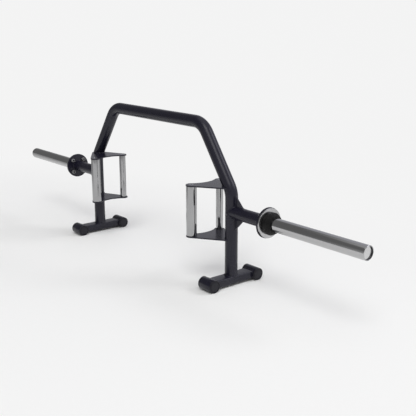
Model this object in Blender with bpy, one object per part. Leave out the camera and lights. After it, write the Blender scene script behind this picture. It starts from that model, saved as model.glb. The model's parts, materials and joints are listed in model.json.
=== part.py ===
"""Trap bar with an open arch, vertical grips in two thicknesses and turning sleeves.

Frame: +X along the right sleeve, +Y to the back, +Z up, origin on the floor midway between the
posts. All sizes are in metres and degrees. The bar stands on its four short foot tubes.
"""
import math

import bmesh
import bpy
import numpy as np
from mathutils import Vector

# Clearances
FIT_GAP = 0.0003
RUNNING_GAP = 0.0005
BEARING_GAP = 0.0004

# Arch: one bent round tube, measured on its axis
TUBE_DIAMETER = 0.0483
TUBE_WALL = 0.0032
POST_SPACING = 0.942
SHOULDER_HEIGHT = 0.361
TOP_BAR_LENGTH = 0.606
TOP_BAR_HEIGHT = 0.599
BEND_RADIUS = 0.085

# Base tubes and feet
BASE_WIDTH = 0.050
BASE_HEIGHT = 0.030
BASE_CORNER = 0.004
BASE_WALL = 0.003
FOOT_SPACING = 0.218
FOOT_LENGTH = 0.070
CAP_THICKNESS = 0.005
CAP_PLUG_LENGTH = 0.012
CAP_EDGE = 0.0015

# Stub tubes, gussets and flange plates
SLEEVE_HEIGHT = 0.285
FLANGE_SPACING = 1.319
FLANGE_DIAMETER = 0.111
FLANGE_PLATE_THICKNESS = 0.005
GUSSET_LEG = 0.040
GUSSET_THICKNESS = 0.006
FLANGE_SCREW_COUNT = 4
FLANGE_SCREW_CIRCLE = 0.080
FLANGE_SCREW_DIAMETER = 0.010
FLANGE_SCREW_HEAD_DIAMETER = 0.016
FLANGE_SCREW_HEAD_HEIGHT = 0.010
FLANGE_SCREW_EDGE = 0.0008
FLANGE_SCREW_ENGAGEMENT = 0.0035

# Grips and their plates, in plan from the arch's middle plane
GRIP_LENGTH = 0.192
UPPER_PLATE_UNDERSIDE = 0.374
GRIP_PLATE_THICKNESS = 0.005
THICK_GRIP_DIAMETER = 0.040
THICK_GRIP_SPACING = 0.686
THICK_GRIP_FORWARD = 0.088
THIN_GRIP_DIAMETER = 0.028
THIN_GRIP_SPACING = 0.684
THIN_GRIP_BACK = 0.052
GRIP_EDGE = 0.001
THICK_TIP_RADIUS = 0.0215
THIN_TIP_RADIUS = 0.019
PLATE_HOLLOW_RADIUS = 0.100
PLATE_FRONT_OFFSET = 0.0235
PLATE_BACK_OFFSET = 0.0125
PLATE_ROOT_CORNER = 0.006
GRIP_SCREW_DIAMETER = 0.010
GRIP_SCREW_HEAD_DIAMETER = 0.018
GRIP_SCREW_LENGTH = 0.030

# Spindles and turning sleeves
OVERALL_LENGTH = 2.200
SLEEVE_DIAMETER = 0.050
SLEEVE_BORE = 0.042
SLEEVE_RIM_BORE = 0.0445
SLEEVE_RIM_EDGE = 0.001
SLEEVE_COLLAR_DIAMETER = 0.074
SLEEVE_COLLAR_THICKNESS = 0.005
SPINDLE_FLANGE_THICKNESS = 0.0045
SPINDLE_FLANGE_EDGE = 0.002
SPINDLE_DIAMETER = 0.034
SPINDLE_END_GAP = 0.006
BUSH_LAND_LENGTH = 0.060
BUSH_RELIEF = 0.001
RING_WIDTH = 0.0025
RING_GROOVE_DEPTH = 0.0015
RING_DIAMETER = 0.039
BUMPER_DIAMETER = 0.0815
BUMPER_STRAIGHT = 0.015
BUMPER_NOSE_DIAMETER = 0.060
BUMPER_LENGTH = 0.034
BUMPER_RIBS = 4
BUMPER_RIB_DEPTH = 0.0012
BUMPER_RIB_SHARE = 0.3
END_CAP_THICKNESS = 0.006
END_CAP_RECESS = 0.0045
END_CAP_EDGE = 0.0008

# Hexagon sockets as shares of the screw's diameter: width across flats, depth
CAP_HEAD_SOCKET = (0.8, 0.5)
COUNTERSUNK_SOCKET = (0.6, 0.3)

# Facets
TUBE_SIDES = 20
SLEEVE_SIDES = 24
FLANGE_SIDES = 28
SCREW_SIDES = 12
HEXAGON_SIDES = 6
BEND_STEPS = 5
ARC_STEP = math.radians(18)
SMOOTH_ANGLE = math.radians(30)
MERGE_DISTANCE = 1e-6
EMPTY_SIZE = 0.05

# Values that several pieces share
TUBE_RADIUS = TUBE_DIAMETER / 2
POST_X = POST_SPACING / 2
FOOT_Y = FOOT_SPACING / 2
BASE_TOP = TUBE_RADIUS + BASE_HEIGHT / 2
POST_BOTTOM = BASE_TOP + FIT_GAP
FLANGE_PLATE_X = FLANGE_SPACING / 2
SPINDLE_X = FLANGE_PLATE_X + FLANGE_PLATE_THICKNESS + FIT_GAP
SLEEVE_X = SPINDLE_X + SPINDLE_FLANGE_THICKNESS
SLEEVE_END = OVERALL_LENGTH / 2 - SLEEVE_X
CAP_SEAT = SLEEVE_END - END_CAP_RECESS - END_CAP_THICKNESS
SPINDLE_END = CAP_SEAT - SPINDLE_END_GAP
GROOVE_END = SPINDLE_END - RING_WIDTH
GROOVE_START = GROOVE_END - RING_WIDTH - 2 * FIT_GAP
BUSH_START = RUNNING_GAP
BUSH_END = GROOVE_START - RUNNING_GAP
BUSH_RADIUS = SLEEVE_BORE / 2 - FIT_GAP
BUSH_BORE_RADIUS = SPINDLE_DIAMETER / 2 + BEARING_GAP
LOWER_PLATE_TOP = UPPER_PLATE_UNDERSIDE - GRIP_LENGTH - 2 * FIT_GAP
GRIP_SCREW_HEAD_HEIGHT = (GRIP_SCREW_HEAD_DIAMETER - GRIP_SCREW_DIAMETER) / 2
SIDES = {"left": -1, "right": 1}
THICK_GRIP = (THICK_GRIP_SPACING / 2, -THICK_GRIP_FORWARD)
THIN_GRIP = (THIN_GRIP_SPACING / 2, THIN_GRIP_BACK)
GRIPS = {"thick": (THICK_GRIP, THICK_GRIP_DIAMETER), "thin": (THIN_GRIP, THIN_GRIP_DIAMETER)}


def clear_scene():
    for obj in list(bpy.data.objects):
        bpy.data.objects.remove(obj, do_unlink=True)


def material(name, colour, roughness, metallic):
    made = bpy.data.materials.new(name)
    made.use_nodes = True
    shader = made.node_tree.nodes["Principled BSDF"]
    shader.inputs["Base Color"].default_value = (*colour, 1.0)
    shader.inputs["Roughness"].default_value = roughness
    shader.inputs["Metallic"].default_value = metallic
    return made


def empty(name, location=(0, 0, 0)):
    made = bpy.data.objects.new(name, None)
    made.location = location
    made.empty_display_size = EMPTY_SIZE
    bpy.context.scene.collection.objects.link(made)
    return made


def finish(name, bm, paint, parent, location=(0, 0, 0)):
    """Turns a closed bmesh into an object under its parent, with its faces pointing out."""
    bmesh.ops.recalc_face_normals(bm, faces=bm.faces)
    mesh = bpy.data.meshes.new(name)
    bm.to_mesh(mesh)
    bm.free()
    mesh.shade_smooth()
    mesh.set_sharp_from_angle(angle=SMOOTH_ANGLE)
    mesh.materials.append(paint)
    made = bpy.data.objects.new(name, mesh)
    made.parent = parent
    made.location = location
    bpy.context.scene.collection.objects.link(made)
    return made


def as_cutter(obj):
    obj.hide_render = True
    obj.display_type = "WIRE"
    return obj


def cut(obj, *cutters):
    for cutter in cutters:
        boolean = obj.modifiers.new("cut by " + cutter.name, "BOOLEAN")
        boolean.operation = "DIFFERENCE"
        boolean.solver = "EXACT"
        boolean.object = cutter


def turned(name, profile, paint, parent, location=(0, 0, 0), axis="X", side=1, sides=TUBE_SIDES):
    """A solid of revolution from (along, radius) pairs; its facets start straight down or in front."""
    bm = bmesh.new()
    if axis == "X":
        points = [(side * along, 0.0, -radius) for along, radius in profile]
        spin_axis = (1, 0, 0)
    else:
        points = [(0.0, -radius, side * along) for along, radius in profile]
        spin_axis = (0, 0, 1)
    verts = [bm.verts.new(point) for point in points]
    on_axis = profile[0][1] == 0 and profile[-1][1] == 0
    last = len(verts) - 1 if on_axis else len(verts)
    for i in range(last):
        bm.edges.new((verts[i], verts[(i + 1) % len(verts)]))
    bmesh.ops.spin(
        bm, geom=bm.verts[:] + bm.edges[:], cent=(0, 0, 0), axis=spin_axis,
        angle=2 * math.pi, steps=sides, use_merge=True,
    )
    bmesh.ops.remove_doubles(bm, verts=bm.verts, dist=MERGE_DISTANCE)
    return finish(name, bm, paint, parent, location)


def ring_faces(bm, first, second):
    for i in range(len(first)):
        j = (i + 1) % len(first)
        bm.faces.new((first[i], first[j], second[j], second[i]))


def skinned(name, outer, paint, parent, inner=None):
    """A solid skinned over rings of points, with an optional bore skinned over inner rings."""
    bm = bmesh.new()
    outer_rings = [[bm.verts.new(point) for point in ring] for ring in outer]
    for first, second in zip(outer_rings, outer_rings[1:]):
        ring_faces(bm, first, second)
    if inner is None:
        bm.faces.new(outer_rings[0])
        bm.faces.new(outer_rings[-1])
    else:
        inner_rings = [[bm.verts.new(point) for point in ring] for ring in inner]
        for first, second in zip(inner_rings, inner_rings[1:]):
            ring_faces(bm, first, second)
        ring_faces(bm, outer_rings[0], inner_rings[0])
        ring_faces(bm, outer_rings[-1], inner_rings[-1])
    return finish(name, bm, paint, parent)


def pipe(start, end, outer_radius, inner_radius):
    """Profile of a straight pipe, for turned()."""
    return [(start, inner_radius), (start, outer_radius), (end, outer_radius), (end, inner_radius)]


def bent_path(corners, radius, steps):
    """Points and directions along straight runs whose corners are rounded by arcs."""
    points = [Vector(corners[0])]
    directions = [(Vector(corners[1]) - Vector(corners[0])).normalized()]
    for before, corner, after in zip(corners, corners[1:], corners[2:]):
        into = (Vector(corner) - Vector(before)).normalized()
        out = (Vector(after) - Vector(corner)).normalized()
        turn = into.angle(out)
        inward = (out - into * into.dot(out)).normalized()
        start = Vector(corner) - into * radius * math.tan(turn / 2)
        for i in range(steps + 1):
            angle = turn * i / steps
            shift = into * math.sin(angle) + inward * (1 - math.cos(angle))
            points.append(start + radius * shift)
            directions.append(into * math.cos(angle) + inward * math.sin(angle))
    points.append(Vector(corners[-1]))
    directions.append((Vector(corners[-1]) - Vector(corners[-2])).normalized())
    return points, directions


def circle_rings(points, directions, radius, sides):
    """Rings square to a path that lies in the XZ plane."""
    rings = []
    across = Vector((0, 1, 0))
    for point, direction in zip(points, directions):
        up = direction.cross(across)
        angles = [2 * math.pi * i / sides for i in range(sides)]
        rings.append([point + radius * (across * math.cos(a) + up * math.sin(a)) for a in angles])
    return rings


ARCH_CORNERS = [
    (POST_X, 0, POST_BOTTOM),
    (POST_X, 0, SHOULDER_HEIGHT),
    (TOP_BAR_LENGTH / 2, 0, TOP_BAR_HEIGHT),
    (-TOP_BAR_LENGTH / 2, 0, TOP_BAR_HEIGHT),
    (-POST_X, 0, SHOULDER_HEIGHT),
    (-POST_X, 0, POST_BOTTOM),
]
ARCH_POINTS, ARCH_DIRECTIONS = bent_path(ARCH_CORNERS, BEND_RADIUS, BEND_STEPS)


def arch_x(height):
    """Distance of the bent tube's axis from the middle at a height on the post or leg."""
    right = [point for point in ARCH_POINTS if point.x > 0]
    return float(np.interp(height, [point.z for point in right], [point.x for point in right]))


def arch_solid(name, growth, bore_radius, paint, parent):
    outer = circle_rings(ARCH_POINTS, ARCH_DIRECTIONS, TUBE_RADIUS + growth, TUBE_SIDES)
    inner = None
    if bore_radius:
        inner = circle_rings(ARCH_POINTS, ARCH_DIRECTIONS, bore_radius, TUBE_SIDES)
    return skinned(name, outer, paint, parent, inner)


def arc(centre, radius, start, end):
    """Points on an arc, ends included, at steps of about ARC_STEP."""
    count = max(2, math.ceil(abs(end - start) / ARC_STEP))
    angles = [start + (end - start) * i / count for i in range(count + 1)]
    return [(centre[0] + radius * math.cos(a), centre[1] + radius * math.sin(a)) for a in angles]


def outer_tangent_angle(first, first_radius, second, second_radius, turn):
    """Direction from both centres to the line that touches two circles on the given side."""
    dx = second[0] - first[0]
    dy = second[1] - first[1]
    lean = math.acos((first_radius - second_radius) / math.hypot(dx, dy))
    return math.atan2(dy, dx) + turn * lean


def above(angle, floor):
    """The same angle, raised by whole turns until it is past the floor."""
    return floor + (angle - floor) % (2 * math.pi)


def rounded_corner(before, corner, after, radius):
    """An arc that touches both sides of a corner, in place of its point."""
    into = (Vector(corner) - Vector(before)).normalized()
    out = (Vector(after) - Vector(corner)).normalized()
    turn = into.angle_signed(out)
    setback = radius * math.tan(abs(turn) / 2)
    way = 1 if turn < 0 else -1
    left = Vector((-into.y, into.x)) * way
    centre = Vector(corner) - into * setback + left * radius
    start = math.atan2(-left.y, -left.x)
    return arc(centre, radius, start, start - turn)


def plate_outline(root):
    """Plan of the right-hand grip plate, counter-clockwise.

    Its front and back edges run from the tips round both grips towards the post, and end beside
    the bent tube, whose axis is at x = root at the plate's height.
    """
    post = (POST_X, 0.0)
    front = outer_tangent_angle(THICK_GRIP, THICK_TIP_RADIUS, post, PLATE_FRONT_OFFSET, -1)
    back = outer_tangent_angle(THIN_GRIP, THIN_TIP_RADIUS, post, PLATE_BACK_OFFSET, 1)
    lean = POST_X - root
    front_reach = PLATE_FRONT_OFFSET + lean * math.cos(front)
    back_reach = PLATE_BACK_OFFSET + lean * math.cos(back)
    front_end = (root + front_reach * math.cos(front), front_reach * math.sin(front))
    back_end = (root + back_reach * math.cos(back), back_reach * math.sin(back))
    hollow = meeting_point(
        THIN_GRIP, PLATE_HOLLOW_RADIUS + THIN_TIP_RADIUS,
        THICK_GRIP, PLATE_HOLLOW_RADIUS + THICK_TIP_RADIUS,
    )
    to_thick = math.atan2(hollow[1] - THICK_GRIP[1], hollow[0] - THICK_GRIP[0])
    to_thin = math.atan2(hollow[1] - THIN_GRIP[1], hollow[0] - THIN_GRIP[0])
    points = arc(THICK_GRIP, THICK_TIP_RADIUS, to_thick, above(front, to_thick))
    points += rounded_corner(points[-1], front_end, (root, 0.0), PLATE_ROOT_CORNER)
    points.append((root, 0.0))
    points.append(back_end)
    points += arc(THIN_GRIP, THIN_TIP_RADIUS, back, above(to_thin, back))
    hollow_start = to_thin + math.pi
    hollow_turn = (hollow_start - to_thick - math.pi) % (2 * math.pi)
    return points + arc(hollow, PLATE_HOLLOW_RADIUS, hollow_start, hollow_start - hollow_turn)[1:-1]


def meeting_point(first, first_radius, second, second_radius):
    """Where two circles meet, on the right of the way from the first centre to the second."""
    dx = second[0] - first[0]
    dy = second[1] - first[1]
    span = math.hypot(dx, dy)
    along = (span**2 + first_radius**2 - second_radius**2) / (2 * span)
    across = math.sqrt(first_radius**2 - along**2)
    x = first[0] + (along * dx + across * dy) / span
    return x, first[1] + (along * dy - across * dx) / span


def rounded_rectangle(width, height, corner, centre_z):
    """Outline in x and z, counter-clockwise, with quarter-circle corners."""
    points = []
    for i, (sx, sz) in enumerate([(1, 1), (-1, 1), (-1, -1), (1, -1)]):
        centre = (sx * (width / 2 - corner), centre_z + sz * (height / 2 - corner))
        points += arc_quarter(centre, corner, i * math.pi / 2)
    return points


def arc_quarter(centre, radius, start):
    angles = [start + i * math.pi / 4 for i in range(3)]
    return [(centre[0] + radius * math.cos(a), centre[1] + radius * math.sin(a)) for a in angles]


def socket_cutter(screw, screw_diameter, shares, top, paint, axis, side):
    """Hexagon socket sunk into a screw's head, whose face is at top along the axis."""
    corner = screw_diameter * shares[0] / math.sqrt(3)
    depth = screw_diameter * shares[1]
    profile = [(top - depth, 0), (top - depth, corner), (top + depth, corner), (top + depth, 0)]
    name = "socket_cutter_" + screw.name
    return as_cutter(
        turned(name, profile, paint, screw.parent, screw.location, axis, side, HEXAGON_SIDES)
    )


def make_arch(paint, parent):
    return arch_solid("frame_tube", 0, TUBE_RADIUS - TUBE_WALL, paint, parent)


def make_base(name, side, foot_cutters, paint, parent):
    """Flat rectangular tube under the post, coped onto both foot tubes."""
    outlines = []
    for shrink in (0, BASE_WALL):
        width = BASE_WIDTH - 2 * shrink
        height = BASE_HEIGHT - 2 * shrink
        outline = rounded_rectangle(width, height, BASE_CORNER - shrink, TUBE_RADIUS)
        outlines.append([[(side * POST_X + x, y, z) for x, z in outline] for y in (-FOOT_Y, FOOT_Y)])
    base = skinned("base_tube_" + name, outlines[0], paint, parent, outlines[1])
    cut(base, *foot_cutters)


def make_foot(name, side, y, paint, plastic, parent):
    """Short cross tube that stands on the floor, with a plug in each end. Returns its cutter."""
    centre = (side * POST_X, y, TUBE_RADIUS)
    half = FOOT_LENGTH / 2 - CAP_THICKNESS - FIT_GAP
    bore = TUBE_RADIUS - TUBE_WALL
    turned("foot_tube_" + name, pipe(-half, half, TUBE_RADIUS, bore), paint, parent, centre)
    face = FOOT_LENGTH / 2
    plug = bore - FIT_GAP
    cap = [
        (face, 0),
        (face, TUBE_RADIUS - CAP_EDGE),
        (face - CAP_EDGE, TUBE_RADIUS),
        (face - CAP_THICKNESS, TUBE_RADIUS),
        (face - CAP_THICKNESS, plug),
        (face - CAP_THICKNESS - CAP_PLUG_LENGTH, plug),
        (face - CAP_THICKNESS - CAP_PLUG_LENGTH, 0),
    ]
    for end, way in (("outer", side), ("inner", -side)):
        turned("foot_cap_" + name + "_" + end, cap, plastic, parent, centre, side=way)
    cutter_profile = [(-half, 0), (-half, TUBE_RADIUS + FIT_GAP), (half, TUBE_RADIUS + FIT_GAP), (half, 0)]
    return as_cutter(turned("foot_cutter_" + name, cutter_profile, paint, parent, centre))


def make_stub(name, side, arch_cutter, paint, parent):
    """Stub tube coped onto the post. Returns the cutter that its neighbours are cut by."""
    centre = (0, 0, SLEEVE_HEIGHT)
    start = POST_X
    end = FLANGE_PLATE_X - FIT_GAP
    profile = pipe(start, end, TUBE_RADIUS, TUBE_RADIUS - TUBE_WALL)
    stub = turned("stub_tube_" + name, profile, paint, parent, centre, side=side)
    cut(stub, arch_cutter)
    grown = TUBE_RADIUS + FIT_GAP
    solid = [(start, 0), (start, grown), (end, grown), (end, 0)]
    return as_cutter(turned("stub_cutter_" + name, solid, paint, parent, centre, side=side))


def make_gusset(name, side, up, cutters, paint, parent):
    """Triangular web in the corner of post and stub, above (up = 1) or below (up = -1)."""
    inside = TUBE_RADIUS / 2
    corner = (POST_X + inside, inside)
    reach = TUBE_RADIUS + GUSSET_LEG
    slope = reach + TUBE_RADIUS - inside
    outline = [corner, (POST_X + slope, inside), (POST_X + inside, slope)]
    rings = []
    for y in (-GUSSET_THICKNESS / 2, GUSSET_THICKNESS / 2):
        rings.append([(side * x, y, SLEEVE_HEIGHT + up * z) for x, z in outline])
    cut(skinned(name, rings, paint, parent), *cutters)


def make_flange_plate(name, side, screw_cutter, paint, parent):
    radius = FLANGE_DIAMETER / 2
    end = FLANGE_PLATE_X + FLANGE_PLATE_THICKNESS
    profile = [(FLANGE_PLATE_X, 0), (FLANGE_PLATE_X, radius), (end, radius), (end, 0)]
    location = (0, 0, SLEEVE_HEIGHT)
    plate = turned("flange_plate_" + name, profile, paint, parent, location, side=side, sides=FLANGE_SIDES)
    cut(plate, screw_cutter)


def flange_screw_places():
    """(y, z) of each flange screw, evenly round the circle from 45 degrees."""
    for i in range(FLANGE_SCREW_COUNT):
        angle = math.pi / 4 + 2 * math.pi * i / FLANGE_SCREW_COUNT
        radius = FLANGE_SCREW_CIRCLE / 2
        yield radius * math.cos(angle), SLEEVE_HEIGHT + radius * math.sin(angle)


def make_flange_screws(name, side, paint, parent):
    """Socket head screws on the flange plate's inner face. Returns the cutter of their holes."""
    shank = FLANGE_SCREW_DIAMETER / 2
    head = FLANGE_SCREW_HEAD_DIAMETER / 2
    seat = FLANGE_PLATE_X - FIT_GAP
    top = seat - FLANGE_SCREW_HEAD_HEIGHT
    tip = SPINDLE_X + FLANGE_SCREW_ENGAGEMENT
    profile = [
        (top, 0),
        (top, head - FLANGE_SCREW_EDGE),
        (top + FLANGE_SCREW_EDGE, head),
        (seat, head),
        (seat, shank),
        (tip, shank),
        (tip, 0),
    ]
    hole = shank + FIT_GAP
    hole_tip = tip + FIT_GAP
    hole_profile = [(seat, 0), (seat, hole), (hole_tip, hole), (hole_tip, 0)]
    cutter_mesh = bmesh.new()
    for i, (y, z) in enumerate(flange_screw_places(), 1):
        location = (0, y, z)
        screw_name = f"flange_screw_{name}_{i}"
        screw = turned(screw_name, profile, paint, parent, location, side=side, sides=SCREW_SIDES)
        socket = socket_cutter(screw, FLANGE_SCREW_DIAMETER, CAP_HEAD_SOCKET, top, paint, "X", side)
        cut(screw, socket)
        hole_piece = turned("hole", hole_profile, paint, parent, location, side=side, sides=SCREW_SIDES)
        hole_piece.data.transform(hole_piece.matrix_basis)
        cutter_mesh.from_mesh(hole_piece.data)
        bpy.data.objects.remove(hole_piece, do_unlink=True)
    return as_cutter(finish("flange_hole_cutter_" + name, cutter_mesh, paint, parent))


def make_grip_plate(name, side, underside, hole_cutters, arch_cutter, paint, parent):
    """Plate that joins both grips of one side to the bent tube."""
    outline = plate_outline(arch_x(underside + GRIP_PLATE_THICKNESS / 2))
    rings = []
    for z in (underside, underside + GRIP_PLATE_THICKNESS):
        rings.append([(side * x, y, z) for x, y in outline])
    plate = skinned("grip_plate_" + name, rings, paint, parent)
    cut(plate, arch_cutter, *hole_cutters)


def grip_screw_profile(growth):
    """Countersunk screw from its flat head down; growth widens it into its own hole."""
    head = GRIP_SCREW_HEAD_DIAMETER / 2 + growth
    shank = GRIP_SCREW_DIAMETER / 2 + growth
    return [
        (growth, 0),
        (growth, head),
        (-growth, head),
        (-GRIP_SCREW_HEAD_HEIGHT - growth, shank),
        (-GRIP_SCREW_LENGTH - growth, shank),
        (-GRIP_SCREW_LENGTH - growth, 0),
    ]


def make_grip(kind, name, side, metal, steel, parent):
    """Chromed grip with a countersunk screw at each end. Returns the screws' hole cutters."""
    (x, y), diameter = GRIPS[kind]
    radius = diameter / 2
    bottom = LOWER_PLATE_TOP + FIT_GAP
    top = UPPER_PLATE_UNDERSIDE - FIT_GAP
    bore = GRIP_SCREW_DIAMETER / 2 + FIT_GAP
    profile = [
        (bottom, bore),
        (bottom, radius - GRIP_EDGE),
        (bottom + GRIP_EDGE, radius),
        (top - GRIP_EDGE, radius),
        (top, radius - GRIP_EDGE),
        (top, bore),
    ]
    turned(f"{kind}_grip_{name}", profile, metal, parent, (side * x, y, 0), axis="Z")
    faces = {
        "upper": (UPPER_PLATE_UNDERSIDE + GRIP_PLATE_THICKNESS, 1),
        "lower": (LOWER_PLATE_TOP - GRIP_PLATE_THICKNESS, -1),
    }
    cutters = {}
    for level, (face, way) in faces.items():
        place = (side * x, y, face)
        screw_name = f"grip_screw_{kind}_{level}_{name}"
        screw = turned(
            screw_name, grip_screw_profile(0), steel, parent, place, "Z", way, sides=SCREW_SIDES
        )
        cut(screw, socket_cutter(screw, GRIP_SCREW_DIAMETER, COUNTERSUNK_SOCKET, 0, steel, "Z", way))
        hole = turned(
            "hole_cutter_" + screw_name, grip_screw_profile(FIT_GAP), steel, parent, place, "Z", way,
            sides=SCREW_SIDES,
        )
        cutters[level] = as_cutter(hole)
    return cutters


def make_spindle(name, side, screw_cutter, metal, parent):
    """Turned shaft with its bolted flange and a groove for the retaining ring."""
    flange = FLANGE_DIAMETER / 2
    shaft = SPINDLE_DIAMETER / 2
    groove = shaft - RING_GROOVE_DEPTH
    inner_face = -SPINDLE_FLANGE_THICKNESS
    profile = [
        (inner_face, 0),
        (inner_face, flange),
        (-SPINDLE_FLANGE_EDGE, flange),
        (0, flange - SPINDLE_FLANGE_EDGE),
        (0, shaft),
        (GROOVE_START, shaft),
        (GROOVE_START, groove),
        (GROOVE_END, groove),
        (GROOVE_END, shaft),
        (SPINDLE_END, shaft),
        (SPINDLE_END, 0),
    ]
    location = (side * SLEEVE_X, 0, SLEEVE_HEIGHT)
    spindle = turned("spindle_" + name, profile, metal, parent, location, side=side, sides=FLANGE_SIDES)
    cut(spindle, screw_cutter)


def make_retaining_ring(name, side, steel, parent):
    inner = SPINDLE_DIAMETER / 2 - RING_GROOVE_DEPTH + FIT_GAP
    start = GROOVE_START + FIT_GAP
    location = (side * SLEEVE_X, 0, SLEEVE_HEIGHT)
    profile = pipe(start, start + RING_WIDTH, RING_DIAMETER / 2, inner)
    turned("retaining_ring_" + name, profile, steel, parent, location, side=side, sides=SLEEVE_SIDES)


def make_sleeve_tube(name, side, metal, parent):
    """Sleeve with an inner collar that carries the bumper and a counterbored outer end."""
    radius = SLEEVE_DIAMETER / 2
    collar = SLEEVE_COLLAR_DIAMETER / 2
    bore = SLEEVE_BORE / 2
    rim = SLEEVE_RIM_BORE / 2
    start = RUNNING_GAP
    collar_end = start + SLEEVE_COLLAR_THICKNESS
    profile = [
        (start, bore),
        (start, collar),
        (collar_end, collar),
        (collar_end, radius),
        (SLEEVE_END - SLEEVE_RIM_EDGE, radius),
        (SLEEVE_END, radius - SLEEVE_RIM_EDGE),
        (SLEEVE_END, rim),
        (CAP_SEAT, rim),
        (CAP_SEAT, bore),
    ]
    turned("sleeve_tube_" + name, profile, metal, parent, side=side, sides=SLEEVE_SIDES)


def make_bumper(name, side, rubber, parent):
    """Rubber ring over the sleeve's collar, with concentric ribs on its tapering nose."""
    full = BUMPER_DIAMETER / 2
    nose = BUMPER_NOSE_DIAMETER / 2
    bore = SLEEVE_DIAMETER / 2 + FIT_GAP
    collar = SLEEVE_COLLAR_DIAMETER / 2 + FIT_GAP
    start = RUNNING_GAP
    collar_end = start + SLEEVE_COLLAR_THICKNESS + FIT_GAP
    profile = [(collar_end, bore), (collar_end, collar), (start, collar), (start, full)]
    profile.append((BUMPER_STRAIGHT, full))
    rib_length = (BUMPER_LENGTH - BUMPER_STRAIGHT) / BUMPER_RIBS
    rib_drop = (full - nose) / BUMPER_RIBS
    for i in range(BUMPER_RIBS):
        along = BUMPER_STRAIGHT + rib_length * i
        crest = full - rib_drop * i
        hollow = crest - BUMPER_RIB_DEPTH - rib_drop * BUMPER_RIB_SHARE
        profile.append((along + rib_length * BUMPER_RIB_SHARE, hollow))
        profile.append((along + rib_length, crest - rib_drop))
    profile.append((BUMPER_LENGTH, bore))
    turned("bumper_ring_" + name, profile, rubber, parent, side=side, sides=SLEEVE_SIDES)


def make_bush(name, side, bronze, parent):
    """Full-length bearing bush that touches the spindle only on a land at each end."""
    relief = BUSH_BORE_RADIUS + BUSH_RELIEF
    profile = [
        (BUSH_START, BUSH_BORE_RADIUS),
        (BUSH_START, BUSH_RADIUS),
        (BUSH_END, BUSH_RADIUS),
        (BUSH_END, BUSH_BORE_RADIUS),
        (BUSH_END - BUSH_LAND_LENGTH, BUSH_BORE_RADIUS),
        (BUSH_END - BUSH_LAND_LENGTH, relief),
        (BUSH_START + BUSH_LAND_LENGTH, relief),
        (BUSH_START + BUSH_LAND_LENGTH, BUSH_BORE_RADIUS),
    ]
    turned("sleeve_bush_" + name, profile, bronze, parent, side=side, sides=SLEEVE_SIDES)


def make_end_cap(name, side, metal, parent):
    radius = SLEEVE_RIM_BORE / 2 - FIT_GAP
    face = SLEEVE_END - END_CAP_RECESS
    seat = CAP_SEAT + FIT_GAP
    profile = [
        (seat, 0),
        (seat, radius),
        (face - END_CAP_EDGE, radius),
        (face, radius - END_CAP_EDGE),
        (face, 0),
    ]
    turned("end_cap_" + name, profile, metal, parent, side=side, sides=SLEEVE_SIDES)


def main():
    clear_scene()
    paint = material("black_paint", (0.035, 0.035, 0.042), 0.38, 0.0)
    chrome = material("chrome", (0.62, 0.63, 0.62), 0.16, 1.0)
    steel = material("zinc_steel", (0.50, 0.50, 0.50), 0.30, 1.0)
    rubber = material("black_rubber", (0.012, 0.012, 0.012), 0.65, 0.0)
    plastic = material("black_plastic", (0.030, 0.030, 0.034), 0.50, 0.0)
    bronze = material("bronze", (0.55, 0.36, 0.18), 0.35, 1.0)
    frame = empty("frame")
    arch_cutter = as_cutter(arch_solid("arch_cutter", FIT_GAP, None, paint, frame))
    make_arch(paint, frame)
    for name, side in SIDES.items():
        foot_cutters = []
        for end, way in (("front", -1), ("back", 1)):
            foot_name = end + "_" + name
            foot_cutters.append(make_foot(foot_name, side, way * FOOT_Y, paint, plastic, frame))
        make_base(name, side, foot_cutters, paint, frame)
        stub_cutter = make_stub(name, side, arch_cutter, paint, frame)
        for level, up in (("upper", 1), ("lower", -1)):
            make_gusset(f"gusset_{level}_{name}", side, up, (arch_cutter, stub_cutter), paint, frame)
        screw_cutter = make_flange_screws(name, side, steel, frame)
        make_flange_plate(name, side, screw_cutter, paint, frame)
        holes = [make_grip(kind, name, side, chrome, steel, frame) for kind in GRIPS]
        undersides = {"upper": UPPER_PLATE_UNDERSIDE, "lower": LOWER_PLATE_TOP - GRIP_PLATE_THICKNESS}
        for level, underside in undersides.items():
            level_holes = [cutters[level] for cutters in holes]
            make_grip_plate(f"{level}_{name}", side, underside, level_holes, arch_cutter, paint, frame)
        make_spindle(name, side, screw_cutter, chrome, frame)
        make_retaining_ring(name, side, steel, frame)
        sleeve = empty("sleeve_" + name, (side * SLEEVE_X, 0, SLEEVE_HEIGHT))
        make_sleeve_tube(name, side, chrome, sleeve)
        make_bumper(name, side, rubber, sleeve)
        make_bush(name, side, bronze, sleeve)
        make_end_cap(name, side, chrome, sleeve)


main()
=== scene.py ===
"""Looks of the trap bar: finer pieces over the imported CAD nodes, materials, floor, light, camera.

Everything is in metres in the frame of the CAD. +X runs along the right-hand sleeve, +Y to the
back and +Z up.
"""
import json
import math

import bmesh
import bpy
import numpy as np
from mathutils import Matrix, Vector, noise

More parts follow.
